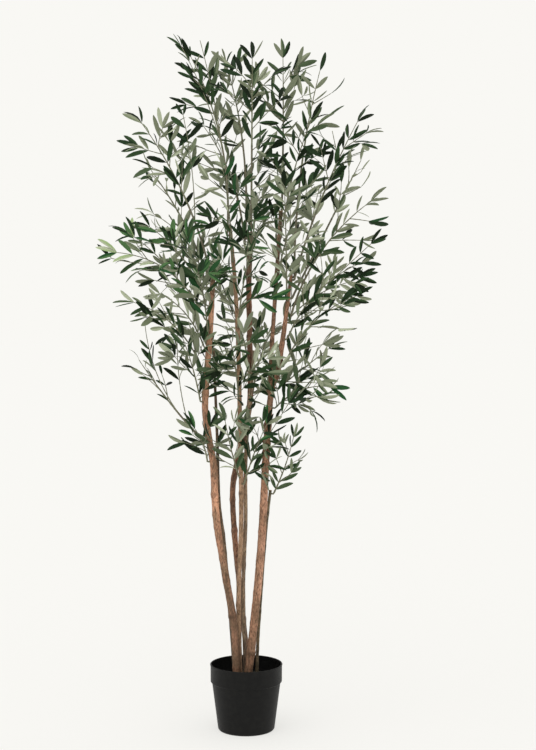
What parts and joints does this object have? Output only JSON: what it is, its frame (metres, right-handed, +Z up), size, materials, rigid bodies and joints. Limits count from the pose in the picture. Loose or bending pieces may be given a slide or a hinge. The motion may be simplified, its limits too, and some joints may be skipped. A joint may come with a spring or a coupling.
{
  "type": "artificial olive tree",
  "caption": "Tall artificial olive tree: slim wooden trunks carrying leafy sprays on thin boughs, standing in a cement-filled black nursery pot.",
  "frame": {"origin": "centre of the pot's flat underside, on the floor", "axes": "+Z up the tree; -Y towards the viewer, +X to the viewer's right"},
  "size_m": [0.8792, 0.6773, 2.0979],
  "materials": {
    "pot_plastic": "matte black polypropylene",
    "cement": "dark, dull cement in the pot",
    "trunk_wood": "bare reddish-brown poles with darker knots and patches of bark",
    "bough_plastic": "wired plastic stem, grey-green",
    "olive_leaves": "printed cloth leaves, dark green above and silvery below"
  },
  "bodies": {
    "root": {"bough_back_middle": "bough_plastic", "bough_back_upper": "bough_plastic", "bough_left_bare": "bough_plastic", "bough_left_sparse": "bough_plastic", "bough_left_upper": "bough_plastic", "bough_right_silver": "bough_plastic", "bough_right_upper": "bough_plastic", "bough_right_upper_far": "bough_plastic", "bough_top_left": "bough_plastic", "bough_top_left_inner": "bough_plastic", "bough_top_middle": "bough_plastic", "bough_top_right": "bough_plastic", "bough_top_tip": "bough_plastic", "cement": "cement", "leaves_back_left": "olive_leaves", "leaves_back_low": "olive_leaves", "leaves_back_middle": "olive_leaves", "leaves_back_right": "olive_leaves", "leaves_back_upper": "olive_leaves", "leaves_front_left": "olive_leaves", "leaves_front_low": "olive_leaves", "leaves_front_middle": "olive_leaves", "leaves_front_right": "olive_leaves", "leaves_front_upper": "olive_leaves", "leaves_left_bare": "olive_leaves", "leaves_left_big": "olive_leaves", "leaves_left_big_upper": "olive_leaves", "leaves_left_foot": "olive_leaves", "leaves_left_low": "olive_leaves", "leaves_left_lower": "olive_leaves", "leaves_left_middle_silver": "olive_leaves", "leaves_left_silver": "olive_leaves", "leaves_left_sparse": "olive_leaves", "leaves_left_upper": "olive_leaves", "leaves_middle_foot_left": "olive_leaves", "leaves_middle_foot_right": "olive_leaves", "leaves_right_foot": "olive_leaves", "leaves_right_low": "olive_leaves", "leaves_right_lower": "olive_leaves", "leaves_right_lowest": "olive_leaves", "leaves_right_middle": "olive_leaves", "leaves_right_middle_silver": "olive_leaves", "leaves_right_silver": "olive_leaves", "leaves_right_upper": "olive_leaves", "leaves_right_upper_far": "olive_leaves", "leaves_top_left": "olive_leaves", "leaves_top_left_inner": "olive_leaves", "leaves_top_middle": "olive_leaves", "leaves_top_right": "olive_leaves", "leaves_top_right_low": "olive_leaves", "leaves_top_tip": "olive_leaves", "pot": "pot_plastic", "trunk_crossing": "trunk_wood", "trunk_left": "trunk_wood", "trunk_left_slim": "trunk_wood", "trunk_middle": "trunk_wood", "trunk_middle_short": "trunk_wood", "trunk_right": "trunk_wood", "trunk_right_fork": "trunk_wood", "trunk_right_slim": "trunk_wood"}
  },
  "joints": []
}
